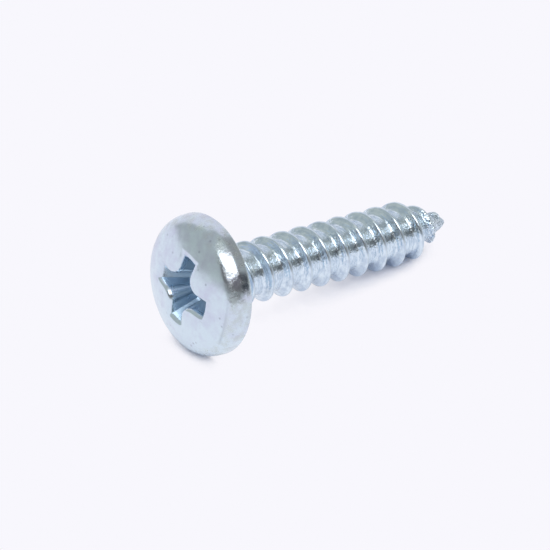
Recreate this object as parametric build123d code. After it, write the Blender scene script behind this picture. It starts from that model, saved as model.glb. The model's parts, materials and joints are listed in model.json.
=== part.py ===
from build123d import *
import math
import os

# A zinc plated self-tapping screw with a low pan head and a cross recess, forged and rolled in one piece.
# It is built upright on its own axis, seat plane at height 0, head above and point below, then laid down.

# Head
head_diameter = 7.84
head_height = 2.08
head_side_height = 0.42
head_shoulder_radius = 1.05
head_edge_radius = 0.12
neck_fillet_radius = 0.46

# Shank and thread, with distances along the shank counted from the seat
screw_length = 16.35
thread_diameter = 3.48
core_diameter = 2.60
thread_pitch = 1.30
crest_width = 0.10
thread_angle = 60.0
thread_start = 0.70
thread_run_in = 1.30
thread_clock = 72.5

# Point
point_length = 3.05
point_tip_radius = 0.36
crest_taper_length = 2.85
last_crest_radius = 0.50
thread_end_gap = 0.25

# Cross recess
wing_span = 4.04
wing_width = 0.94
wing_depth = 1.65
wing_end_slope = 26.5
wing_side_draft = 4.0
rim_corner_radius = 0.80
deep_corner_radius = 0.35
recess_floor_slope = 28.0
recess_clock = -6.0

# How finely the thread's edges are laid out, and how far the ridge is buried in the core
points_per_turn = 12
ridge_sink = 0.10

# Radii and places that follow from the sizes above
head_radius = head_diameter / 2
thread_radius = thread_diameter / 2
core_radius = core_diameter / 2
point_start = screw_length - point_length
crest_taper_start = screw_length - crest_taper_length
thread_end = screw_length - thread_end_gap

# Half angle of the cone that runs from the shank to its round tip without a corner
tip_centre = (0, point_tip_radius - screw_length)
cone_slant = math.hypot(core_radius, point_length - point_tip_radius)
cone_lean = math.atan2(point_length - point_tip_radius, core_radius)
cone_half_angle = math.acos(point_tip_radius / cone_slant) - cone_lean

# The crown is the arc that meets the shoulder smoothly and tops out at the head height
crown_rise = head_height - head_side_height
shoulder_radius = min(head_shoulder_radius, 0.9 * crown_rise)
shoulder_centre = (head_radius - shoulder_radius, head_side_height)
crown_square = shoulder_centre[0] ** 2 + crown_rise**2 - shoulder_radius**2
crown_radius = crown_square / (2 * (crown_rise - shoulder_radius))
crown_centre = (0, head_height - crown_radius)


def circle_point(centre, radius, angle):
    """A point on a circle in the profile plane, the angle counted up from the outward direction."""
    turn = math.radians(angle)
    return (centre[0] + radius * math.cos(turn), centre[1] + radius * math.sin(turn))


def make_head():
    """The head: flat seat, small lower edge, straight side, round shoulder and a shallow crown."""
    blend_angle = math.degrees(math.atan2(shoulder_centre[1] - crown_centre[1], shoulder_centre[0]))
    edge_centre = (head_radius - head_edge_radius, head_edge_radius)
    seat_edge = circle_point(edge_centre, head_edge_radius, -90)
    edge_middle = circle_point(edge_centre, head_edge_radius, -45)
    side_bottom = circle_point(edge_centre, head_edge_radius, 0)
    side_top = circle_point(shoulder_centre, shoulder_radius, 0)
    shoulder_middle = circle_point(shoulder_centre, shoulder_radius, blend_angle / 2)
    shoulder_top = circle_point(shoulder_centre, shoulder_radius, blend_angle)
    crown_middle = circle_point(crown_centre, crown_radius, (blend_angle + 90) / 2)
    crown_top = (0, head_height)
    with BuildPart() as head:
        with BuildSketch(Plane.XZ):
            with BuildLine():
                Line((0, 0), seat_edge)
                ThreePointArc(seat_edge, edge_middle, side_bottom)
                Line(side_bottom, side_top)
                ThreePointArc(side_top, shoulder_middle, shoulder_top)
                ThreePointArc(shoulder_top, crown_middle, crown_top)
                Line(crown_top, (0, 0))
            make_face()
        revolve(axis=Axis.Z)
    return head.part


def make_core():
    """The plain body under the thread: a filleted neck, the shank and a cone with a blunt end."""
    neck_centre = (core_radius + neck_fillet_radius, -neck_fillet_radius)
    neck_middle = circle_point(neck_centre, neck_fillet_radius, 135)
    tip_turn = -math.degrees(cone_half_angle)
    tip_edge = circle_point(tip_centre, point_tip_radius, tip_turn)
    tip_middle = circle_point(tip_centre, point_tip_radius, (tip_turn - 90) / 2)
    with BuildPart() as core:
        with BuildSketch(Plane.XZ):
            with BuildLine():
                Polyline((0, head_edge_radius), (neck_centre[0], head_edge_radius), (neck_centre[0], 0))
                ThreePointArc((neck_centre[0], 0), neck_middle, (core_radius, neck_centre[1]))
                Polyline((core_radius, neck_centre[1]), (core_radius, -point_start), tip_edge)
                ThreePointArc(tip_edge, tip_middle, (0, -screw_length))
                Line((0, -screw_length), (0, head_edge_radius))
            make_face()
        revolve(axis=Axis.Z)
    return core.part


def core_surface(distance):
    """Radius of the core at a distance from the seat."""
    if distance < point_start:
        return core_radius
    return core_radius - (distance - point_start) * math.tan(cone_half_angle)


def crest_surface(distance):
    """Radius of the thread's crest: it rises out of the shank, stays full, and comes in at the point."""
    if distance < thread_start:
        return core_radius
    if distance < thread_start + thread_run_in:
        return core_radius + (thread_radius - core_radius) * (distance - thread_start) / thread_run_in
    if distance < crest_taper_start:
        return thread_radius
    taper = (distance - crest_taper_start) / (thread_end - crest_taper_start)
    return thread_radius + (last_crest_radius - thread_radius) * taper


def ridge_point(distance, side, is_crest):
    """A point on one long edge of the ridge; side is -1 towards the head and 1 towards the point."""
    crest = crest_surface(distance)
    root = core_surface(distance) - ridge_sink
    half_width = crest_width / 2
    if not is_crest:
        half_width += (crest - root) * math.tan(math.radians(thread_angle / 2))
    radius = crest if is_crest else root
    turn = math.radians(thread_clock) - 2 * math.pi * distance / thread_pitch
    height = -(distance + side * half_width)
    return Vector(radius * math.cos(turn), radius * math.sin(turn), height)


def ridge_edge(first, last, side, is_crest):
    """One long edge of the ridge between two distances, which leaves both ends at its true slope."""
    places = [step / points_per_turn for step in range(points_per_turn + 1)]
    points = [ridge_point(first + (last - first) * place, side, is_crest) for place in places]
    nudge = 0.001 * thread_pitch
    slopes = []
    for end in (first, last):
        ahead = ridge_point(end + nudge, side, is_crest)
        behind = ridge_point(end - nudge, side, is_crest)
        slopes.append((ahead - behind) * ((last - first) / (2 * nudge)))
    return Edge.make_spline(points, tangents=slopes, parameters=places, scale=False)


def make_ridge_length(first, last):
    """The solid of the ridge between two distances from the seat, closed by flat ends."""
    edges = [
        ridge_edge(first, last, -1, False),
        ridge_edge(first, last, -1, True),
        ridge_edge(first, last, 1, True),
        ridge_edge(first, last, 1, False),
    ]
    faces = []
    for edge, next_edge in zip(edges, edges[1:] + edges[:1]):
        faces.append(Face.make_surface_from_curves(edge, next_edge))
    for end in (0, 1):
        corners = [edge.position_at(end) for edge in edges]
        faces.append(Face(Wire.make_polygon(corners, close=True)))
    return Solid(Shell(faces))


def make_thread():
    """The right-hand ridge, one turn at a time, from under the head to the point."""
    turns = math.ceil((thread_end - thread_start) / thread_pitch)
    turn_length = (thread_end - thread_start) / turns
    lengths = []
    for turn in range(turns):
        first = thread_start + turn * turn_length
        lengths.append(make_ridge_length(first, first + turn_length))
    return lengths


def make_recess():
    """The cross recess as a cutter: two blades, rounded where they meet, inside a cone with a cone floor."""
    rim_radius = wing_span / 2
    rim_height = crown_centre[1] + math.sqrt(crown_radius**2 - rim_radius**2)
    end_taper = math.tan(math.radians(wing_end_slope))
    side_taper = math.tan(math.radians(wing_side_draft))
    corner_taper = (rim_corner_radius - deep_corner_radius) / wing_depth
    floor_height = rim_height - wing_depth
    floor_radius = rim_radius - wing_depth * end_taper
    top_radius = rim_radius + (head_height - rim_height) * end_taper
    low = floor_height - floor_radius * math.tan(math.radians(recess_floor_slope))
    with BuildPart() as recess:
        for height in (low, head_height):
            above_rim = height - rim_height
            width = wing_width + 2 * above_rim * side_taper
            with BuildSketch(Plane.XY.offset(height)) as cross:
                for quarter in (0, 90):
                    Rectangle(head_diameter, width, rotation=recess_clock + quarter)
                inner_corners = cross.vertices().sort_by(lambda corner: math.hypot(corner.X, corner.Y))[:4]
                fillet(inner_corners, rim_corner_radius + above_rim * corner_taper)
        loft()
        with BuildSketch(Plane.XZ):
            with BuildLine():
                Polyline(
                    (0, low),
                    (floor_radius, floor_height),
                    (top_radius, head_height),
                    (0, head_height),
                    close=True,
                )
            make_face()
        revolve(axis=Axis.Z, mode=Mode.INTERSECT)
    return recess.part


def resting_tilt():
    """Angle of the axis to the floor when the screw lies on its head's edge and one crest."""
    first_low = (thread_clock - 180) / 360 * thread_pitch
    turns = math.ceil(screw_length / thread_pitch) + 1
    tilts = []
    for turn in range(turns):
        distance = first_low + turn * thread_pitch
        if thread_start + thread_run_in < distance < thread_end:
            along = distance + head_edge_radius
            drop = head_radius - head_edge_radius - crest_surface(distance)
            reach = math.hypot(along, drop)
            tilts.append(math.atan2(drop, along) + math.asin(head_edge_radius / reach))
    return math.degrees(min(tilts))


def lay_down(upright):
    """Lay the screw on the floor, point towards +X, and centre it over the origin."""
    lying = Rot(0, resting_tilt() - 90, 0) * upright
    box = lying.bounding_box()
    return Pos(-box.center().X, -box.center().Y, -box.min.Z) * lying


blank = make_head() + make_core() - make_recess()
screw = lay_down(blank.fuse(*make_thread()))
screw.label = "screw"

os.makedirs("parts", exist_ok=True)
export_step(screw, "parts/screw.step")
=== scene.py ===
import bpy
import json
import math
import numpy as np
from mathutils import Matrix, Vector, noise


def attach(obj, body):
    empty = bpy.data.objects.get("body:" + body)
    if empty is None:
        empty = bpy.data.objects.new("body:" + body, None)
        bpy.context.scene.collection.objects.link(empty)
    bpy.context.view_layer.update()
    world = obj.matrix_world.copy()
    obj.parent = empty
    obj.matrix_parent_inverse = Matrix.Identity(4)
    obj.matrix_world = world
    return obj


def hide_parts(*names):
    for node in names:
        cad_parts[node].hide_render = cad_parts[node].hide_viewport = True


# A zinc plated self-tapping screw lying on white paper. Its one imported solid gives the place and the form.
# The finer mesh here adds what a step closer shows: rolled crests and roots, the rolled rim of the recess,
# the waves and nicks of cold forging, and the rough end of the pinched point.

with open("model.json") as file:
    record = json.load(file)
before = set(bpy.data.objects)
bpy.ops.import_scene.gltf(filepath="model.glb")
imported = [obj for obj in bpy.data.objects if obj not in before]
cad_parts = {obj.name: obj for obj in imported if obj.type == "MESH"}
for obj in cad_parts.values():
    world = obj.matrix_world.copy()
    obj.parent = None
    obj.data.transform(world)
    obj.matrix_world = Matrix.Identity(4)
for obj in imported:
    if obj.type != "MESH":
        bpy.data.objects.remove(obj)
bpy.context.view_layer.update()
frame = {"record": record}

# Sizes below are in millimetres, and this is the one place where they turn into Blender's metres
MM = 0.001

# Head. Its radius is 0.002 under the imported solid's, whose flat facets lie a little inside the true round.
HEAD_RADIUS = 3.918
HEAD_HEIGHT = 2.08
HEAD_SIDE_HEIGHT = 0.42
HEAD_SHOULDER_RADIUS = 1.05
HEAD_EDGE_RADIUS = 0.12
NECK_FILLET_RADIUS = 0.46

# Shank, thread and point, with distances along the shank counted from the seat
SCREW_LENGTH = 16.35
THREAD_RADIUS = 1.74
CORE_RADIUS = 1.30
THREAD_PITCH = 1.30
CREST_WIDTH = 0.10
FLANK_ANGLE = 30.0
THREAD_START = 0.70
THREAD_RUN_IN = 1.30
THREAD_CLOCK = 72.5
POINT_LENGTH = 3.05
TIP_RADIUS = 0.36
CREST_TAPER_LENGTH = 2.85
LAST_CREST_RADIUS = 0.50
THREAD_END_GAP = 0.25
CREST_SOFTNESS = 0.02
ROOT_SOFTNESS = 0.06

# Cross recess
WING_SPAN = 4.04
WING_WIDTH = 0.94
WING_DEPTH = 1.65
WING_END_SLOPE = 26.5
WING_SIDE_DRAFT = 4.0
RIM_CORNER_RADIUS = 0.80
DEEP_CORNER_RADIUS = 0.35
RECESS_FLOOR_SLOPE = 28.0
RECESS_RIM_ROLL = 0.28
RECESS_CLOCK = -6.0

# What forging leaves on the head: depth and size of its slow waves and of the shoulder's grain. The grain
# starts and is full so far out from the crown's edge.
HEAD_WAVE_DEPTH, HEAD_WAVE_SIZE = 0.009, 1.7
SHOULDER_GRAIN_DEPTH, SHOULDER_GRAIN_SIZE = 0.010, 0.30
GRAIN_STARTS, GRAIN_IS_FULL = -0.1, 0.25

# Nicks on top of the head, each drawn by chance between two limits: the share of the head's area that lies
# inside its place, its size, and its share of the full depth
NICKS = 26
NICK_DEPTH = 0.012
NICK_AREAS = (0.35, 0.97)
NICK_SIZES = (0.09, 0.24)
NICK_SHARES = (0.3, 1.0)

# What the rolling dies leave on the thread, and how far off the crest's middle it starts and is full
ROLLING_DEPTH, ROLLING_SIZE, ROLLING_STRETCH = 0.012, 0.20, 7.0
ROLLING_STARTS, ROLLING_IS_FULL = 0.07, 0.20
CREST_RAGGEDNESS, CREST_RAG_SIZE = 0.014, 0.6
RAGS_START, RAGS_ARE_FULL = 0.16, 0.05

# The pinched point: its lumps and the plate's tears start and are full so far before the tip
TIP_ROUGHNESS, TIP_LUMP_SIZE = 0.07, 0.26
LUMPS_START, LUMPS_ARE_FULL = 2.2, 0.3
TEARS_START, TEARS_ARE_FULL = 2.0, 1.4

# One fine scuff on the shoulder: its place round the head in degrees, its line and width, its strength in the
# middle, how much that falls along it, and from which share of its half length it runs out
SCUFF_MIDDLE, SCUFF_HALF_SPAN = -92.0, 32.0
SCUFF_RADIUS, SCUFF_BOW, SCUFF_WIDTH = 3.37, 0.20, 0.055
SCUFF_STRENGTH, SCUFF_FALL = 0.24, 0.16
SCUFF_RUNS_OUT = 0.8

# Where the coined shoulder starts and is full, out from the crown's edge, and the recess, down from the
# crown. What lies up to the reach under the edge of the recess floor counts as sunk too: the floor's cone,
# and the neck beside it.
COINED_STARTS, COINED_IS_FULL = -0.05, 0.3
SUNK_STARTS, SUNK_IS_FULL = 0.05, 0.6
SUNK_REACH = 1.0

# The two finishes, numbered as the screw takes its materials
FORGED, ROLLED = 0, 1

# How finely the surface is laid out: steps along half the end of a wing of the recess, along its side and
# round the corner to the next wing, shares of the way across the floor, and counts of rings and of rows. The
# rows lie closer together near the crest.
END_STEPS = 6
SIDE_STEPS = 8
CORNER_STEPS = 20
COLUMNS = 4 * (2 * (END_STEPS + SIDE_STEPS) + CORNER_STEPS)
FLOOR_SHARES = (0.12, 0.26, 0.42, 0.60, 0.80, 0.93)
WALL_RINGS = 11
RIM_RINGS = 7
CROWN_RINGS = 20
SHOULDER_RINGS = 18
SIDE_RINGS = 4
EDGE_RINGS = 4
SEAT_RINGS = 10
NECK_RINGS = 7
TIP_RINGS = 9
ROWS_PER_PITCH = 26
ROW_CROWDING = 1.25

# Edges sharper than this many degrees are shaded as edges
SHARP_ANGLE = 50.0

# Over which lengths the thread and its marks come in and die away, how deep the ridge is buried in the core
# before and after that, and how near the neck or the tip a row has to be to join its ring
THREAD_FADES_IN, THREAD_FADES_OUT = 0.20, 0.25
NECK_FADE, ROLLING_FADE, TIP_FADE = 0.3, 0.5, 0.15
RIDGE_SINK = 0.6
NEAREST_ROW = 0.01

# Places that follow from the sizes
CROWN_RISE = HEAD_HEIGHT - HEAD_SIDE_HEIGHT
SHOULDER_CENTRE = HEAD_RADIUS - HEAD_SHOULDER_RADIUS
CROWN_RADIUS = (SHOULDER_CENTRE**2 + CROWN_RISE**2 - HEAD_SHOULDER_RADIUS**2) / (
    2 * (CROWN_RISE - HEAD_SHOULDER_RADIUS)
)
CROWN_CENTRE = HEAD_HEIGHT - CROWN_RADIUS
BLEND_ANGLE = math.atan2(HEAD_SIDE_HEIGHT - CROWN_CENTRE, SHOULDER_CENTRE)
CROWN_EDGE = CROWN_RADIUS * math.cos(BLEND_ANGLE)
POINT_START = SCREW_LENGTH - POINT_LENGTH
CREST_TAPER_START = SCREW_LENGTH - CREST_TAPER_LENGTH
THREAD_END = SCREW_LENGTH - THREAD_END_GAP
CONE_SLANT = math.hypot(CORE_RADIUS, POINT_LENGTH - TIP_RADIUS)
CONE_LEAN = math.atan2(POINT_LENGTH - TIP_RADIUS, CORE_RADIUS)
CONE_HALF_ANGLE = math.acos(TIP_RADIUS / CONE_SLANT) - CONE_LEAN
TIP_START = SCREW_LENGTH - TIP_RADIUS * (1 - math.sin(CONE_HALF_ANGLE))

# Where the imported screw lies: the middle of its seat, and the way its axis points towards the tip
thread_mount = next(mount for mount in frame["record"]["mounts"] if mount["name"] == "thread")
SEAT = np.array(thread_mount["pos_m"]) / MM
ALONG = np.array(thread_mount["axis"])
ACROSS = np.array([0.0, 1.0, 0.0])
UPRIGHT = np.cross(ALONG, ACROSS)


def smooth_max(one, other, softness):
    """The larger of two heights, with the corner between them rounded."""
    return (one + other + np.sqrt((one - other) ** 2 + softness**2)) / 2


def ramp(value, start, end):
    """0 up to the start, 1 from the end on, and an even climb between them."""
    return np.clip((value - start) / (end - start), 0, 1)


def blobs(points, size, seed):
    """Smooth noise from 0 to 1 at each point, in blobs of the given size in millimetres."""
    shift = Vector((7.3, 3.1, 5.7)) * seed
    values = [noise.noise(Vector(point) / size + shift) for point in points.reshape(-1, 3)]
    # The noise lies about as far above 0 as below it, and hardly ever beyond 0.7
    return np.clip(0.5 + 0.7 * np.array(values), 0, 1).reshape(points.shape[:-1])


def around(radius, angle, height):
    """Points at a radius, an angle in radians and a height, on a screw that stands upright."""
    angle = np.asarray(angle)
    return np.stack([radius * np.cos(angle), radius * np.sin(angle), height + 0 * angle], axis=-1)


def crown_height(radius):
    """Height of the crown over the seat at a distance from the axis."""
    return CROWN_CENTRE + np.sqrt(CROWN_RADIUS**2 - radius**2)


COLUMN_ANGLES = math.radians(RECESS_CLOCK) + 2 * math.pi * np.arange(COLUMNS) / COLUMNS
RIM_HEIGHT = float(crown_height(WING_SPAN / 2))
FLOOR_HEIGHT = RIM_HEIGHT - WING_DEPTH
FLOOR_RADIUS = WING_SPAN / 2 - WING_DEPTH * math.tan(math.radians(WING_END_SLOPE))


def floor_height(radius):
    """Height of the recess floor: a cone in the middle, level further out."""
    depth = np.maximum(FLOOR_RADIUS - radius, 0) * math.tan(math.radians(RECESS_FLOOR_SLOPE))
    return FLOOR_HEIGHT - depth


def turned(point, angle):
    """A plan point turned round the axis by an angle in radians."""
    x, y = point
    return x * math.cos(angle) - y * math.sin(angle), x * math.sin(angle) + y * math.cos(angle)


def wing_point(place, reach, wide, corner):
    """A point on half a wing of the recess, some steps from its middle, and the way into the metal there."""
    if place <= END_STEPS:
        turn = math.asin(wide / reach) * place / END_STEPS
        normal = (1.0, 1.0) if place == END_STEPS else (math.cos(turn), math.sin(turn))
        return (reach * math.cos(turn), reach * math.sin(turn)), normal
    if place <= END_STEPS + SIDE_STEPS:
        share = (place - END_STEPS) / SIDE_STEPS
        side_end = math.sqrt(reach**2 - wide**2)
        return (side_end + (wide + corner - side_end) * share, wide), (0.0, 1.0)
    turn = math.pi / 2 * (place - END_STEPS - SIDE_STEPS) / CORNER_STEPS
    point = (wide + corner - corner * math.sin(turn), wide + corner - corner * math.cos(turn))
    return point, (math.sin(turn), math.cos(turn))


def cross_outline(level):
    """The recess cut across at one height per column: plan points, and the way into the metal at each."""
    above_rim = level - RIM_HEIGHT
    reaches = WING_SPAN / 2 + above_rim * math.tan(math.radians(WING_END_SLOPE))
    half_widths = WING_WIDTH / 2 + above_rim * math.tan(math.radians(WING_SIDE_DRAFT))
    corners = RIM_CORNER_RADIUS + above_rim * (RIM_CORNER_RADIUS - DEEP_CORNER_RADIUS) / WING_DEPTH
    points = np.zeros((COLUMNS, 2))
    into = np.zeros((COLUMNS, 2))
    quarter = COLUMNS // 4
    for column in range(COLUMNS):
        wing, step = divmod(column, quarter)
        mirrored = step > quarter / 2
        place = quarter - step if mirrored else step
        point, normal = wing_point(place, reaches[column], half_widths[column], corners[column])
        if mirrored:
            point, normal = point[::-1], normal[::-1]
        lean = math.radians(RECESS_CLOCK) + wing * math.pi / 2
        points[column] = turned(point, lean)
        into[column] = turned(normal, lean)
    return points, into


def wall_meets(surface):
    """The height at which each column of the recess wall meets a surface, closed in on in a few rounds."""
    level = np.full(COLUMNS, RIM_HEIGHT)
    rounds = 12
    for _ in range(rounds):
        points, _into = cross_outline(level)
        level = surface(np.hypot(points[:, 0], points[:, 1]))
    return level


def lifted(plan, height):
    """Plan points with a height each."""
    return np.column_stack([plan, height])


def recess_rings():
    """Rings from the middle of the recess floor, up its walls and over the rolled rim onto the crown."""
    rings = []
    bottom = wall_meets(floor_height)
    top = wall_meets(crown_height)
    foot, _into = cross_outline(bottom)
    for share in FLOOR_SHARES:
        plan = foot * share
        rings.append(lifted(plan, floor_height(np.hypot(plan[:, 0], plan[:, 1]))))
    below_roll = top - RECESS_RIM_ROLL
    for share in np.linspace(0, 1, WALL_RINGS):
        level = bottom + (below_roll - bottom) * share
        rings.append(lifted(cross_outline(level)[0], level))
    start = rings[-1]
    rim, into = cross_outline(top)
    corner = lifted(rim, top)
    outer = rim + into * RECESS_RIM_ROLL
    finish = lifted(outer, crown_height(np.hypot(outer[:, 0], outer[:, 1])))
    for share in np.linspace(0, 1, RIM_RINGS + 1)[1:]:
        rings.append((1 - share) ** 2 * start + 2 * share * (1 - share) * corner + share**2 * finish)
    return rings


def crown_rings(inner):
    """Rings over the crown, from the cross-shaped rim out to the round shoulder."""
    outer = around(CROWN_EDGE, COLUMN_ANGLES, 0.0)[:, :2]
    rings = []
    for share in np.linspace(0, 1, CROWN_RINGS + 1)[1:]:
        plan = inner[:, :2] * (1 - share) + outer * share
        rings.append(lifted(plan, crown_height(np.hypot(plan[:, 0], plan[:, 1]))))
    return rings


def arc(centre, radius, first, last, steps):
    """Profile points along an arc, leaving out its first one; angles in radians, up from outwards."""
    turns = np.linspace(first, last, steps + 1)[1:]
    return [(centre[0] + radius * math.cos(turn), centre[1] + radius * math.sin(turn)) for turn in turns]


def side_rings():
    """Rings down the shoulder, the side and the lower edge, in across the seat and round the neck."""
    shoulder_centre = (SHOULDER_CENTRE, HEAD_SIDE_HEIGHT)
    edge_centre = (HEAD_RADIUS - HEAD_EDGE_RADIUS, HEAD_EDGE_RADIUS)
    neck_centre = (CORE_RADIUS + NECK_FILLET_RADIUS, -NECK_FILLET_RADIUS)
    side = np.linspace(HEAD_SIDE_HEIGHT, HEAD_EDGE_RADIUS, SIDE_RINGS + 1)[1:]
    seat = np.linspace(edge_centre[0], neck_centre[0], SEAT_RINGS + 1)[1:]
    profile = arc(shoulder_centre, HEAD_SHOULDER_RADIUS, BLEND_ANGLE, 0, SHOULDER_RINGS)
    profile += [(HEAD_RADIUS, height) for height in side]
    profile += arc(edge_centre, HEAD_EDGE_RADIUS, 0, -math.pi / 2, EDGE_RINGS)
    profile += [(radius, 0.0) for radius in seat]
    profile += arc(neck_centre, NECK_FILLET_RADIUS, math.pi / 2, math.pi, NECK_RINGS)
    return [around(radius, COLUMN_ANGLES, height) for radius, height in profile]


def core_surface(distance):
    """Radius of the core at a distance from the seat."""
    taper = np.maximum(distance - POINT_START, 0) * math.tan(CONE_HALF_ANGLE)
    return CORE_RADIUS - taper


def crest_surface(distance):
    """Radius of the crest: it rises out of the shank, stays full, and comes in at the point."""
    places = [THREAD_START, THREAD_START + THREAD_RUN_IN, CREST_TAPER_START, THREAD_END]
    return np.interp(distance, places, [CORE_RADIUS, THREAD_RADIUS, THREAD_RADIUS, LAST_CREST_RADIUS])


def thread_surface(distance, off_crest):
    """Radius of the threaded shank at a distance from the seat, and so far off the nearest crest along it."""
    crest_place = distance - off_crest
    crest = crest_surface(crest_place)
    drop = np.maximum(np.abs(off_crest) - CREST_WIDTH / 2, 0) / math.tan(math.radians(FLANK_ANGLE))
    ridge = crest - (np.sqrt(drop**2 + CREST_SOFTNESS**2) - CREST_SOFTNESS)
    fade = ramp(crest_place, THREAD_END, THREAD_END - THREAD_FADES_OUT)
    fade = fade * ramp(crest_place, THREAD_START, THREAD_START + THREAD_FADES_IN)
    core = core_surface(distance)
    ridge = core - RIDGE_SINK + (ridge - core + RIDGE_SINK) * fade
    # Rounding the root lifts the rest by a trace, which comes off again
    return smooth_max(core, ridge, ROOT_SOFTNESS * fade) - ROOT_SOFTNESS**2 / 8


def rolling_marks(crest_place, off_crest):
    """How deep the rolling dies have marked the thread: long streaks round it, and a ragged crest."""
    off = np.abs(off_crest)
    round_thread = 2 * math.pi * THREAD_RADIUS * crest_place / THREAD_PITCH
    streaks = np.stack([round_thread / ROLLING_STRETCH, off_crest, 0 * off_crest], axis=-1)
    marks = ROLLING_DEPTH * blobs(streaks, ROLLING_SIZE, 1) * ramp(off, ROLLING_STARTS, ROLLING_IS_FULL)
    on_crest = ramp(off, RAGS_START, RAGS_ARE_FULL)
    rags = np.stack([round_thread, 0 * off_crest, 0 * off_crest], axis=-1)
    return marks + CREST_RAGGEDNESS * on_crest * blobs(rags, CREST_RAG_SIZE, 2)


def shank_rows():
    """The shank's rows, which follow the thread round it: distance and place off the crest, per column."""
    half = ROWS_PER_PITCH // 2
    outward = THREAD_PITCH / 2 * (np.arange(half + 1) / half) ** ROW_CROWDING
    offsets = np.concatenate([-outward[:0:-1], outward[:-1]])
    spare_turns = 3
    turns = range(-spare_turns, math.ceil(SCREW_LENGTH / THREAD_PITCH) + spare_turns)
    offset = np.concatenate([offsets + turn * THREAD_PITCH for turn in turns])
    off_crest = np.tile(offsets, len(turns))
    first_crest = THREAD_PITCH * (math.radians(THREAD_CLOCK) - COLUMN_ANGLES) / (2 * math.pi)
    return first_crest[:, None] + offset[None, :], np.broadcast_to(off_crest, (COLUMNS, len(offset)))


def tip_rings():
    """Rings over the blunt end of the point."""
    centre = (0.0, TIP_RADIUS - SCREW_LENGTH)
    profile = arc(centre, TIP_RADIUS, -CONE_HALF_ANGLE, -math.pi / 2, TIP_RINGS)[:-1]
    return [around(radius, COLUMN_ANGLES, height) for radius, height in profile]


class Skin:
    """Collects the points and faces of one closed surface, ring by ring.

    Each face carries its finish, forged or rolled, and each of its corners the place along and across the
    thread there."""

    def __init__(self):
        self.points = []
        self.faces = []
        self.finishes = []
        self.places = []
        self.last = None

    def add_points(self, points):
        """Adds points and gives back their numbers."""
        start = sum(len(block) for block in self.points)
        self.points.append(np.asarray(points))
        return start + np.arange(len(points))

    def add_face(self, corners, finish, places=None):
        """Adds one face over numbered points, with its finish and its corners' places on the thread."""
        self.faces.append(tuple(int(corner) for corner in corners))
        self.finishes.append(finish)
        self.places.extend(places or [(0.0, 0.0, 0.0)] * len(corners))

    def add_ring(self, points, finish):
        """Adds a ring of points, and a band of faces between it and the last ring."""
        ring = self.add_points(points)
        if self.last is not None:
            for column in range(COLUMNS):
                after = (column + 1) % COLUMNS
                self.add_face((ring[column], ring[after], self.last[after], self.last[column]), finish)
        self.last = ring

    def close(self, point, ring, finish, flip):
        """Closes a ring with faces that meet in one point, turned over at the end of the surface."""
        pole = self.add_points([point])[0]
        for column in range(COLUMNS):
            corners = (pole, ring[column], ring[(column + 1) % COLUMNS])
            self.add_face(corners[::-1] if flip else corners, finish)


def shank_radius(distance, off_crest):
    """Radius of the rolled shank with its marks, led smoothly into the neck and into the round tip."""
    marked = ramp(distance, NECK_FILLET_RADIUS, NECK_FILLET_RADIUS + ROLLING_FADE)
    radius = thread_surface(distance, off_crest) - rolling_marks(distance - off_crest, off_crest) * marked
    past_neck = ramp(distance, NECK_FILLET_RADIUS, NECK_FILLET_RADIUS + NECK_FADE)
    radius = CORE_RADIUS + (radius - CORE_RADIUS) * past_neck
    radius_end = float(core_surface(TIP_START))
    return radius_end + (radius - radius_end) * ramp(distance, TIP_START, TIP_START - TIP_FADE)


def add_shank(skin):
    """Lays the threaded shank between the neck's last ring and a new ring where the round tip starts."""
    distance, off_crest = shank_rows()
    radius = shank_radius(distance, off_crest)
    neck_ring = skin.last
    end_ring = skin.add_points(around(float(core_surface(TIP_START)), COLUMN_ANGLES, -TIP_START))
    first_row, end_row = NECK_FILLET_RADIUS + NEAREST_ROW, TIP_START - NEAREST_ROW
    # Rows beyond either end take the numbers of the ring there, so faces that span nothing are left out
    inside = (distance > first_row) & (distance < end_row)
    names = np.where(distance <= first_row, neck_ring[:, None], end_ring[:, None])
    angles = np.broadcast_to(COLUMN_ANGLES[:, None], distance.shape)
    points = np.stack([radius * np.cos(angles), radius * np.sin(angles), -distance], axis=-1)[inside]
    names[inside] = skin.add_points(points)
    last_row = distance.shape[1] - 1
    turn_length = 2 * math.pi * THREAD_RADIUS
    for column in range(COLUMNS):
        after = (column + 1) % COLUMNS
        # The first column again, one turn on, has its rows one pitch further along
        shift = ROWS_PER_PITCH if after == 0 else 0
        for row in range(ROWS_PER_PITCH, last_row):
            corners = [
                names[column, row],
                names[column, row + 1],
                names[after, row - shift + 1],
                names[after, row - shift],
            ]
            whole = [place for place in range(4) if corners[place] != corners[place - 1]]
            if len(whole) > 2:
                here = turn_length * (row // ROWS_PER_PITCH - column / COLUMNS)
                there = here - turn_length / COLUMNS
                near = off_crest[0, row]
                far = near + distance[0, row + 1] - distance[0, row]
                places = [(here, near, 0.0), (here, far, 0.0), (there, far, 0.0), (there, near, 0.0)]
                corners = [corners[place] for place in whole]
                skin.add_face(corners, ROLLED, [places[place] for place in whole])
    skin.last = end_ring


def lay_down(points):
    """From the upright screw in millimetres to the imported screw's place on the floor in metres."""
    placed = SEAT + points[:, :1] * UPRIGHT + points[:, 1:2] * ACROSS - points[:, 2:3] * ALONG
    return placed * MM


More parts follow.
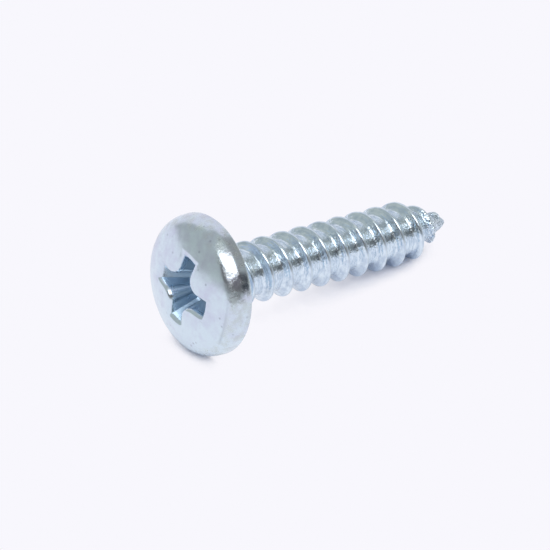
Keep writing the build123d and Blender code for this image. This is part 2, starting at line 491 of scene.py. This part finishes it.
def forging_marks(upright):
    """How deep forging and pinching press each point in: slow waves, shoulder grain, nicks, a lumpy tip."""
    radius = np.hypot(upright[:, 0], upright[:, 1])
    height = upright[:, 2]
    depth = np.zeros(len(upright))
    head = np.flatnonzero(height > HEAD_EDGE_RADIUS)
    spots = upright[head]
    rise = ramp(spots[:, 2], HEAD_EDGE_RADIUS, HEAD_SIDE_HEIGHT)
    shoulder = ramp(radius[head], CROWN_EDGE + GRAIN_STARTS, CROWN_EDGE + GRAIN_IS_FULL)
    depth[head] = HEAD_WAVE_DEPTH * blobs(spots, HEAD_WAVE_SIZE, 3) * rise
    depth[head] += SHOULDER_GRAIN_DEPTH * blobs(spots, SHOULDER_GRAIN_SIZE, 4) * shoulder * rise
    chance = np.random.default_rng(5)
    for _ in range(NICKS):
        turn = chance.uniform(0, 2 * math.pi)
        out = math.sqrt(chance.uniform(*NICK_AREAS)) * HEAD_RADIUS
        size = chance.uniform(*NICK_SIZES)
        strength = chance.uniform(*NICK_SHARES)
        away = np.hypot(spots[:, 0] - out * math.cos(turn), spots[:, 1] - out * math.sin(turn))
        on_top = spots[:, 2] > HEAD_SIDE_HEIGHT
        depth[head] += NICK_DEPTH * strength * np.exp(-((away / size) ** 2)) * on_top
    tip = np.flatnonzero(height < LUMPS_START - SCREW_LENGTH)
    pinch = ramp(-height[tip], SCREW_LENGTH - LUMPS_START, SCREW_LENGTH - LUMPS_ARE_FULL)
    depth[tip] += TIP_ROUGHNESS * blobs(upright[tip], TIP_LUMP_SIZE, 6) * pinch
    return depth


def scuff(upright):
    """How much one fine curved scuff greys each point. It fades along its line and at both ends."""
    radius = np.hypot(upright[:, 0], upright[:, 1])
    turn = np.degrees(np.arctan2(upright[:, 1], upright[:, 0]))
    off_middle = (turn - SCUFF_MIDDLE) / SCUFF_HALF_SPAN
    line = SCUFF_RADIUS + SCUFF_BOW * off_middle**2
    strength = ramp(np.abs(off_middle), 1.0, SCUFF_RUNS_OUT) * (SCUFF_STRENGTH - SCUFF_FALL * off_middle)
    return strength * np.exp(-(((radius - line) / SCUFF_WIDTH) ** 2)) * (upright[:, 2] > HEAD_SIDE_HEIGHT)


def local_finishes(upright):
    """The share of each local finish at each point, by the name that the materials know it by."""
    radius, height = np.hypot(upright[:, 0], upright[:, 1]), upright[:, 2]
    coined = ramp(radius, CROWN_EDGE + COINED_STARTS, CROWN_EDGE + COINED_IS_FULL)
    below_crown = crown_height(np.minimum(radius, WING_SPAN / 2)) - height
    in_recess = (radius < WING_SPAN / 2) & (height > FLOOR_HEIGHT - SUNK_REACH)
    return {
        "coined": coined * (height > 0.0),
        "sunk": ramp(below_crown, SUNK_STARTS, SUNK_IS_FULL) * in_recess,
        "scuffed": scuff(upright),
        "torn": ramp(-height, SCREW_LENGTH - TEARS_START, SCREW_LENGTH - TEARS_ARE_FULL),
    }


def screw_skin():
    """The whole screw as one closed skin, standing upright, from the recess floor to the tip."""
    skin = Skin()
    for ring in recess_rings():
        skin.add_ring(ring, FORGED)
    rim = skin.points[-1]
    skin.close((0.0, 0.0, float(floor_height(0.0))), np.arange(COLUMNS), FORGED, False)
    for ring in crown_rings(rim) + side_rings():
        skin.add_ring(ring, FORGED)
    add_shank(skin)
    for ring in tip_rings():
        skin.add_ring(ring, ROLLED)
    skin.close((0.0, 0.0, -SCREW_LENGTH), skin.last, ROLLED, True)
    return skin


def make_screw():
    """The screw's mesh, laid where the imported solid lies, with the marks of its making pressed in."""
    skin = screw_skin()
    upright = np.concatenate(skin.points)
    mesh = bpy.data.meshes.new("screw_surface")
    placed = lay_down(upright)
    mesh.from_pydata(placed.tolist(), [], skin.faces)
    mesh.update()
    normals = np.zeros(placed.size)
    mesh.vertices.foreach_get("normal", normals)
    placed -= normals.reshape(-1, 3) * forging_marks(upright)[:, None] * MM
    mesh.vertices.foreach_set("co", placed.ravel())
    mesh.update()
    mesh.shade_smooth()
    mesh.set_sharp_from_angle(angle=math.radians(SHARP_ANGLE))
    mesh.polygons.foreach_set("material_index", skin.finishes)
    thread_places = mesh.attributes.new("thread_place", "FLOAT_VECTOR", "CORNER")
    thread_places.data.foreach_set("vector", np.array(skin.places).ravel())
    for name, shares in local_finishes(upright).items():
        mesh.attributes.new(name, "FLOAT", "POINT").data.foreach_set("value", shares)
    piece = bpy.data.objects.new("screw_surface", mesh)
    bpy.context.scene.collection.objects.link(piece)
    return piece


def srgb(code):
    """A colour written as sRGB hex, turned to the linear values that Blender's sockets take."""
    parts = [int(code[place:place + 2], 16) / 255 for place in (0, 2, 4)]
    linear = [part / 12.92 if part <= 0.04045 else ((part + 0.055) / 1.055) ** 2.4 for part in parts]
    return tuple(linear) + (1.0,)


def add_node(tree, kind, inputs=None, **settings):
    """Adds one node. An input, by name or number, is a value or another node's output; settings are its own.

    Map Range takes what it maps from as inputs 1 and 2, and what it maps to as 3 and 4 (0 and 1 if left out).
    Mix takes its two colours as inputs 6 and 7, and gives the mixed one as output 2."""
    node = tree.nodes.new(kind)
    for name, value in settings.items():
        setattr(node, name, value)
    for name, value in (inputs or {}).items():
        if isinstance(value, bpy.types.NodeSocket):
            tree.links.new(value, node.inputs[name])
        else:
            node.inputs[name].default_value = value
    return node


def zinc_tree(name):
    """A new metal material with its node tree, shader and a place in millimetres on the screw."""
    material = bpy.data.materials.new(name)
    material.use_nodes = True
    tree = material.node_tree
    shader = tree.nodes["Principled BSDF"]
    shader.inputs["Metallic"].default_value = 1.0
    metres = add_node(tree, "ShaderNodeTexCoord").outputs["Object"]
    place = add_node(tree, "ShaderNodeVectorMath", {0: metres, "Scale": 1 / MM}, operation="SCALE").outputs[0]
    return material, tree, shader, place


# The head's zinc plate takes on the colour of its clear blue passivate, which drifts between lavender and a
# pale blue in clouds. A pair of limits such as TINTS says where a pattern starts to count, and is full.
ZINC_LAVENDER = "CDD4E6"
ZINC_PALE_BLUE = "D8E7F1"
CLOUD_SIZE, CLOUD_RAGGEDNESS = 0.9, 0.62
TINTS = (0.35, 0.65)

# Painted reflection: the plate is painted paler on the side that lies lowest, for the bright paper it mirrors
# there. Heights over the floor, and what they add to the clouds
PAINTED_FLOOR_REFLECTION_STARTS, PAINTED_FLOOR_REFLECTION_IS_FULL = 5.0, 1.0
PAINTED_FLOOR_REFLECTION_SHARE = 0.16

# In the recess the plate is painted bluer, a painted tint for the light bounced round inside it, and the
# plate is duller
PAINTED_RECESS_BOUNCE_BLUE = "CCDCEA"
RECESS_DULLNESS = 0.10

# Grey specks, one in some cells of a fine net, with the cell's size and a speck's radii as shares of it
ZINC_SPECK = "8F97A6"
SPECK_CELL = 0.42
SPECK_CORE, SPECK_RIM = 0.10, 0.22
SPECKED_CELLS = 0.4
SPECK_STRENGTH = 0.4

# The coined shoulder, broken up into rough, pitted patches with a warm stain
ZINC_WARM_STAIN = "BFC0AC"
PATCH_SIZE = 0.4
PATCHES = (0.42, 0.62)
PATCH_DULLNESS = 0.10
STAIN_STRENGTH = 0.24
PIT_SIZE, PIT_DEPTH = 0.13, 0.016

# Roughness of the plain plate, which is a little duller where the clouds are full
DULL_CLOUDS = (0.3, 0.7)
HEAD_ROUGHNESS = (0.17, 0.23)

# Plating grain is finer than the render shows, so it is drawn coarser than it is
PLATING_GRAIN_SIZE, PLATING_GRAIN_DEPTH = 0.12, 0.0008


def speck_share(tree, place):
    """How grey each place is with specks: they are 0.1 to 0.2 mm across, in two cells of five."""
    cells = add_node(tree, "ShaderNodeTexVoronoi", {"Vector": place, "Scale": 1 / SPECK_CELL})
    away = {"Value": cells.outputs["Distance"], 1: SPECK_CORE, 2: SPECK_RIM, 3: SPECK_STRENGTH, 4: 0.0}
    near = add_node(tree, "ShaderNodeMapRange", away).outputs[0]
    pick = add_node(tree, "ShaderNodeSeparateColor", {"Color": cells.outputs["Color"]}).outputs[0]
    chosen = {0: pick, 1: 1 - SPECKED_CELLS}
    here = add_node(tree, "ShaderNodeMath", chosen, operation="GREATER_THAN").outputs[0]
    return add_node(tree, "ShaderNodeMath", {0: near, 1: here}, operation="MULTIPLY").outputs[0]


def rough_patches(tree, place):
    """How rough coining has left each place: patches of about 0.4 mm, all of them on the shoulder."""
    coined = add_node(tree, "ShaderNodeAttribute", attribute_name="coined").outputs["Fac"]
    pattern = {"Vector": place, "Scale": 1 / PATCH_SIZE, "Detail": 3.0}
    patches = add_node(tree, "ShaderNodeTexNoise", pattern).outputs["Fac"]
    broken = add_node(tree, "ShaderNodeMapRange", {"Value": patches, 1: PATCHES[0], 2: PATCHES[1]}).outputs[0]
    return add_node(tree, "ShaderNodeMath", {0: coined, 1: broken}, operation="MULTIPLY").outputs[0]


def forged_zinc():
    """Bright zinc plate over a cold-forged head.

    The plate is nearly a mirror, so it shows the paper and the window. Faint clouds and small grey specks
    lie in its passivate. The shoulder, which the die's edge has coined, is grainy and stained a little
    warm."""
    material, tree, shader, place = zinc_tree("zinc_plate_on_forged_head")
    sunk = add_node(tree, "ShaderNodeAttribute", attribute_name="sunk").outputs["Fac"]
    scuffed = add_node(tree, "ShaderNodeAttribute", attribute_name="scuffed").outputs["Fac"]
    rough = rough_patches(tree, place)
    stain = add_node(tree, "ShaderNodeMath", {0: rough, 1: STAIN_STRENGTH}, operation="MULTIPLY").outputs[0]

    pattern = {"Vector": place, "Scale": 1 / CLOUD_SIZE, "Detail": 6.0, "Roughness": CLOUD_RAGGEDNESS}
    clouds = add_node(tree, "ShaderNodeTexNoise", pattern).outputs["Fac"]
    # Painted reflection: paler towards the floor, as if mirroring the bright paper; this is added to the
    # clouds
    height = add_node(tree, "ShaderNodeSeparateXYZ", {"Vector": place}).outputs["Z"]
    lower = {"Value": height, 1: PAINTED_FLOOR_REFLECTION_STARTS, 2: PAINTED_FLOOR_REFLECTION_IS_FULL, 3: 0.0, 4: PAINTED_FLOOR_REFLECTION_SHARE}
    painted_floor_reflection = add_node(tree, "ShaderNodeMapRange", lower).outputs[0]
    paleness = add_node(tree, "ShaderNodeMath", {0: clouds, 1: painted_floor_reflection}, operation="ADD").outputs[0]
    drift = add_node(tree, "ShaderNodeMapRange", {"Value": paleness, 1: TINTS[0], 2: TINTS[1]}).outputs[0]
    colour = srgb(ZINC_LAVENDER)
    for share, tint in (
        (drift, ZINC_PALE_BLUE),
        # Painted tint: bluer in the recess, standing in for light bounced round inside it
        (sunk, PAINTED_RECESS_BOUNCE_BLUE),
        (speck_share(tree, place), ZINC_SPECK),
        (scuffed, ZINC_SPECK),
        (stain, ZINC_WARM_STAIN),
    ):
        layers = {"Factor": share, 6: colour, 7: srgb(tint)}
        colour = add_node(tree, "ShaderNodeMix", layers, data_type="RGBA").outputs[2]
    tree.links.new(colour, shader.inputs["Base Color"])

    clear, cloudy = HEAD_ROUGHNESS
    plate = {"Value": clouds, 1: DULL_CLOUDS[0], 2: DULL_CLOUDS[1], 3: clear, 4: cloudy}
    roughness = add_node(tree, "ShaderNodeMapRange", plate).outputs[0]
    for share, dullness in ((sunk, RECESS_DULLNESS), (rough, PATCH_DULLNESS)):
        adding = {0: share, 1: dullness, 2: roughness}
        roughness = add_node(tree, "ShaderNodeMath", adding, operation="MULTIPLY_ADD").outputs[0]
    tree.links.new(roughness, shader.inputs["Roughness"])

    pattern = {"Vector": place, "Scale": 1 / PLATING_GRAIN_SIZE, "Detail": 2.0}
    grain = add_node(tree, "ShaderNodeTexNoise", pattern).outputs["Fac"]
    fine = {"Height": grain, "Strength": 1.0, "Distance": PLATING_GRAIN_DEPTH * MM}
    grained = add_node(tree, "ShaderNodeBump", fine).outputs[0]
    pattern = {"Vector": place, "Scale": 1 / PIT_SIZE, "Detail": 3.0}
    pits = add_node(tree, "ShaderNodeTexNoise", pattern).outputs["Fac"]
    coarse = {"Height": pits, "Strength": rough, "Distance": PIT_DEPTH * MM, "Normal": grained}
    tree.links.new(add_node(tree, "ShaderNodeBump", coarse).outputs[0], shader.inputs["Normal"])
    return material


# The thread's plate drifts between blue and pale, by streaks and clouds together, and is duller where blue
THREAD_BLUE = "C8D8E8"
THREAD_PALE = "E2EFF8"
THREAD_CLOUD_SIZE = 0.35
THREAD_TINTS = (0.8, 1.2)
THREAD_ROUGHNESS = (0.21, 0.11)

# Streaks and short dashes that the dies have drawn, with lengths along the thread and widths across it. Real
# ones go finer still, but these are as fine as the render shows.
STREAK_LENGTH, STREAK_WIDTH, STREAK_DEPTH = 0.8, 0.08, 0.031
DASH_LENGTH, DASH_WIDTH, DASH_DEPTH = 0.18, 0.07, 0.026

# The crest has a small share of those marks, and is rubbed dull. Both end so far off its middle.
CREST_SHARE, CREST_HOLDS, CREST_ENDS = 0.15, 0.06, 0.16
RUB_ROUGHNESS, RUB_HOLDS, RUB_ENDS = 0.40, 0.04, 0.09

# Tears at the pinched point, where the metal is torn rather than rolled
TEAR_SIZE, TEAR_DEPTH = 0.17, 0.24


def rolled_zinc():
    """Bright zinc plate over a rolled thread.

    The dies have drawn fine streaks and dashes round the thread, so the window breaks up into bright and
    dark flecks there. The rubbed crest spreads the window's light and shows as a thin pale line, and the
    torn point sparkles."""
    material, tree, shader, place = zinc_tree("zinc_plate_on_rolled_thread")
    along_thread = add_node(tree, "ShaderNodeAttribute", attribute_name="thread_place").outputs["Vector"]
    patterns = []
    for length, width, detail in ((STREAK_LENGTH, STREAK_WIDTH, 3.0), (DASH_LENGTH, DASH_WIDTH, 2.0)):
        stretch = {0: along_thread, 1: (1 / length, 1 / width, 1.0)}
        stretched = add_node(tree, "ShaderNodeVectorMath", stretch, operation="MULTIPLY").outputs[0]
        pattern = {"Vector": stretched, "Scale": 1.0, "Detail": detail}
        patterns.append(add_node(tree, "ShaderNodeTexNoise", pattern).outputs["Fac"])
    streaks, dashes = patterns

    pattern = {"Vector": place, "Scale": 1 / THREAD_CLOUD_SIZE, "Detail": 3.0}
    clouds = add_node(tree, "ShaderNodeTexNoise", pattern).outputs["Fac"]
    paleness = add_node(tree, "ShaderNodeMath", {0: streaks, 1: clouds}, operation="ADD").outputs[0]
    spread = {"Value": paleness, 1: THREAD_TINTS[0], 2: THREAD_TINTS[1]}
    drift = add_node(tree, "ShaderNodeMapRange", spread).outputs[0]
    layers = {"Factor": drift, 6: srgb(THREAD_BLUE), 7: srgb(THREAD_PALE)}
    colour = add_node(tree, "ShaderNodeMix", layers, data_type="RGBA").outputs[2]
    tree.links.new(colour, shader.inputs["Base Color"])

    blue, pale = THREAD_ROUGHNESS
    plate = add_node(tree, "ShaderNodeMapRange", {**spread, 3: blue, 4: pale}).outputs[0]
    across = add_node(tree, "ShaderNodeSeparateXYZ", {"Vector": along_thread}).outputs["Y"]
    off_crest = add_node(tree, "ShaderNodeMath", {0: across}, operation="ABSOLUTE").outputs[0]
    rubbing = {"Value": off_crest, 1: RUB_HOLDS, 2: RUB_ENDS, 3: RUB_ROUGHNESS, 4: 0.0}
    rubbed = add_node(tree, "ShaderNodeMapRange", rubbing).outputs[0]
    roughness = add_node(tree, "ShaderNodeMath", {0: plate, 1: rubbed}, operation="MAXIMUM").outputs[0]
    tree.links.new(roughness, shader.inputs["Roughness"])

    smoothing = {"Value": off_crest, 1: CREST_HOLDS, 2: CREST_ENDS, 3: CREST_SHARE, 4: 1.0}
    drawn = add_node(tree, "ShaderNodeMapRange", smoothing).outputs[0]
    torn = add_node(tree, "ShaderNodeAttribute", attribute_name="torn").outputs["Fac"]
    pattern = {"Vector": place, "Scale": 1 / TEAR_SIZE, "Detail": 1.0}
    tears = add_node(tree, "ShaderNodeTexNoise", pattern).outputs["Fac"]
    relief = {"Height": streaks, "Strength": drawn, "Distance": STREAK_DEPTH * MM}
    normal = add_node(tree, "ShaderNodeBump", relief).outputs[0]
    for marks, share, depth in ((dashes, drawn, DASH_DEPTH), (tears, torn, TEAR_DEPTH)):
        relief = {"Height": marks, "Strength": share, "Distance": depth * MM, "Normal": normal}
        normal = add_node(tree, "ShaderNodeBump", relief).outputs[0]
    tree.links.new(normal, shader.inputs["Normal"])
    return material


# Painted shade tint: the paper's own colour shows only in the screw's shadow, where its glow fades, and is
# blued there for the bluish light the zinc throws into that shade
PAPER_BLUED_FOR_SHADE = "E6EAF8"
PAPER_SEEN = "F8F7FD"
PAPER_ROUGHNESS = 0.9
PAPER_SHADE_REACH = 3.0

# For each kind of ray, how open to the sky the paper is where its own light starts, and where it is all of it
PAPER_OPENNESS = (
    ("Is Camera Ray", 0.24, 0.43),
    ("Is Glossy Ray", 0.32, 0.66),
    ("Is Transmission Ray", 0.32, 0.66),
)


def white_paper():
    """The matt white paper that the screw lies on.

    The photograph burns it out, so its shadow shows only close to the screw. Seen directly or in the metal,
    the paper is partly lit evenly from within, the less so the closer the screw is."""
    material = bpy.data.materials.new("white_paper")
    material.use_nodes = True
    tree = material.node_tree
    shader = tree.nodes["Principled BSDF"]
    # Painted shade tint: the blued paper colour gives the shadow its bluish cast
    shader.inputs["Base Color"].default_value = srgb(PAPER_BLUED_FOR_SHADE)
    shader.inputs["Roughness"].default_value = PAPER_ROUGHNESS
    shader.inputs["Specular IOR Level"].default_value = 0.0
    even = add_node(tree, "ShaderNodeEmission", {"Color": srgb(PAPER_SEEN)}).outputs[0]
    rays = add_node(tree, "ShaderNodeLightPath")
    reach = {"Distance": PAPER_SHADE_REACH * MM}
    open_sky = add_node(tree, "ShaderNodeAmbientOcclusion", reach, samples=8).outputs["AO"]
    share = 0.0
    for ray, dark, clear in PAPER_OPENNESS:
        evenly = add_node(tree, "ShaderNodeMapRange", {"Value": open_sky, 1: dark, 2: clear}).outputs[0]
        adding = {0: rays.outputs[ray], 1: evenly, 2: share}
        share = add_node(tree, "ShaderNodeMath", adding, operation="MULTIPLY_ADD").outputs[0]
    mixed = add_node(tree, "ShaderNodeMixShader", {0: share, 1: shader.outputs[0], 2: even}).outputs[0]
    tree.links.new(mixed, tree.nodes["Material Output"].inputs["Surface"])
    return material


FLOOR_WIDTH = 3000.0


def make_floor():
    """A wide sheet of white paper."""
    mesh = bpy.data.meshes.new("floor")
    half = FLOOR_WIDTH / 2 * MM
    corners = [(-half, -half, 0), (half, -half, 0), (half, half, 0), (-half, half, 0)]
    mesh.from_pydata(corners, [], [(0, 1, 2, 3)])
    mesh.materials.append(white_paper())
    floor = bpy.data.objects.new("floor", mesh)
    bpy.context.scene.collection.objects.link(floor)


# The studio, as directions round the screw in degrees: azimuth from +X towards +Y, and height over the floor.
# The window is a flat rectangle seen along its middle direction. Its edges and their softness are tangents
# of the angle to that direction. The least depth keeps out of it what lies beside and behind, but for a spot
# that the floor hides.
ROOM = "BCC1BE"
WINDOW_AZIMUTH = 245.0
WINDOW_HEIGHT = 55.0
WINDOW_TILT = 6.0
WINDOW_SPAN, SPAN_SOFTNESS = (-0.77, 0.58), 0.05
WINDOW_RISE, RISE_SOFTNESS = (-0.29, 0.30), 0.04
LEAST_DEPTH = 0.05
WINDOW_STRENGTH = 2.7

# Soft patches of the room: middle azimuth, half width, lowest and highest height, softness, colour
ROOM_PATCHES = (
    (58.0, 44.0, -20.0, 58.0, 9.0, "EFEEF3"),
    (345.0, 32.0, 25.0, 72.0, 9.0, "A5A6A1"),
    (242.0, 64.0, 8.0, 42.0, 4.0, "6E6B6A"),
    (301.0, 13.0, -2.0, 27.0, 4.0, "3C4044"),
)


def soft_band(tree, value, low, high, soft):
    """1 where a value lies between two limits, 0 outside them, with soft edges."""
    rise = {"Value": value, 1: low - soft, 2: low + soft}
    fall = {"Value": value, 1: high - soft, 2: high + soft, 3: 1.0, 4: 0.0}
    up = add_node(tree, "ShaderNodeMapRange", rise, interpolation_type="SMOOTHSTEP").outputs[0]
    down = add_node(tree, "ShaderNodeMapRange", fall, interpolation_type="SMOOTHSTEP").outputs[0]
    return add_node(tree, "ShaderNodeMath", {0: up, 1: down}, operation="MULTIPLY").outputs[0]


def add_room_patches(tree, way, light):
    """The light of the room with its pale wall, grey wall and darker furniture laid over it."""
    parts = add_node(tree, "ShaderNodeSeparateXYZ", {"Vector": way})
    height = add_node(tree, "ShaderNodeMath", {0: parts.outputs["Z"]}, operation="ARCSINE").outputs[0]
    flat = {0: parts.outputs["Y"], 1: parts.outputs["X"]}
    azimuth = add_node(tree, "ShaderNodeMath", flat, operation="ARCTAN2").outputs[0]
    for *angles, colour in ROOM_PATCHES:
        middle, half, low, high, soft = (math.radians(angle) for angle in angles)
        turn = add_node(tree, "ShaderNodeMath", {0: azimuth, 1: middle}, operation="SUBTRACT").outputs[0]
        circle = {0: turn, 1: math.pi, 2: -math.pi}
        aside = add_node(tree, "ShaderNodeMath", circle, operation="WRAP").outputs[0]
        bands = {0: soft_band(tree, aside, -half, half, soft), 1: soft_band(tree, height, low, high, soft)}
        patch = add_node(tree, "ShaderNodeMath", bands, operation="MULTIPLY").outputs[0]
        layers = {"Factor": patch, 6: light, 7: srgb(colour)}
        light = add_node(tree, "ShaderNodeMix", layers, data_type="RGBA").outputs[2]
    return light


def window_share(tree, way):
    """How much each direction shows of the window: 1 inside its frame, 0 outside it."""
    turn, lift, lean = (math.radians(angle) for angle in (WINDOW_AZIMUTH, WINDOW_HEIGHT, WINDOW_TILT))
    ahead = Vector((math.cos(lift) * math.cos(turn), math.cos(lift) * math.sin(turn), math.sin(lift)))
    level = Vector((-math.sin(turn), math.cos(turn), 0.0))
    rise = ahead.cross(level)
    aside = level * math.cos(lean) + rise * math.sin(lean)
    above = rise * math.cos(lean) - level * math.sin(lean)
    depth, sideways, upwards = (
        add_node(tree, "ShaderNodeVectorMath", {0: way, 1: axis}, operation="DOT_PRODUCT").outputs["Value"]
        for axis in (ahead, aside, above)
    )
    depth = add_node(tree, "ShaderNodeMath", {0: depth, 1: LEAST_DEPTH}, operation="MAXIMUM").outputs[0]
    sideways = add_node(tree, "ShaderNodeMath", {0: sideways, 1: depth}, operation="DIVIDE").outputs[0]
    upwards = add_node(tree, "ShaderNodeMath", {0: upwards, 1: depth}, operation="DIVIDE").outputs[0]
    panes = {
        0: soft_band(tree, sideways, *WINDOW_SPAN, SPAN_SOFTNESS),
        1: soft_band(tree, upwards, *WINDOW_RISE, RISE_SOFTNESS),
    }
    return add_node(tree, "ShaderNodeMath", panes, operation="MULTIPLY").outputs[0]


def make_studio():
    """A grey room with one wide window above and behind the camera, and darker furniture under it."""
    world = bpy.data.worlds.new("studio")
    bpy.context.scene.world = world
    world.use_nodes = True
    tree = world.node_tree
    way = add_node(tree, "ShaderNodeTexCoord").outputs["Generated"]
    room = add_room_patches(tree, way, srgb(ROOM))
    layers = {"Factor": window_share(tree, way), 6: room, 7: (WINDOW_STRENGTH,) * 3 + (1.0,)}
    light = add_node(tree, "ShaderNodeMix", layers, data_type="RGBA").outputs[2]
    tree.links.new(light, tree.nodes["Background"].inputs["Color"])


# The camera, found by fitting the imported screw's crest lines, root lines and head to the photograph
CAMERA_HEIGHT = 35.34
CAMERA_AZIMUTH = 52.91
CAMERA_DISTANCE = 388.9
NEAREST_SEEN = 10.0
FRAME_WIDTH = 29.88
AIM_ALONG = 7.0
AIM_RIGHT = -1.906
AIM_UP = -1.020


def make_camera():
    """A long lens that looks down at the screw from the head's side."""
    height, turn = math.radians(CAMERA_HEIGHT), math.radians(CAMERA_AZIMUTH)
    look = Vector((math.cos(height) * math.cos(turn), math.cos(height) * math.sin(turn), -math.sin(height)))
    right = Vector((math.sin(turn), -math.cos(turn), 0))
    up = right.cross(look)
    aim = Vector(SEAT + ALONG * AIM_ALONG) + right * AIM_RIGHT + up * AIM_UP
    lens = bpy.data.cameras.new("camera")
    lens.angle = 2 * math.atan(FRAME_WIDTH / 2 / CAMERA_DISTANCE)
    lens.clip_start = NEAREST_SEEN * MM
    camera = bpy.data.objects.new("camera", lens)
    camera.location = (aim - look * CAMERA_DISTANCE) * MM
    camera.rotation_euler = look.to_track_quat("-Z", "Y").to_euler()
    bpy.context.scene.collection.objects.link(camera)
    bpy.context.scene.camera = camera


screw = make_screw()
screw.data.materials.append(forged_zinc())
screw.data.materials.append(rolled_zinc())
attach(screw, "root")
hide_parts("screw")
make_floor()
make_studio()
make_camera()
bpy.context.scene.view_settings.view_transform = "Standard"
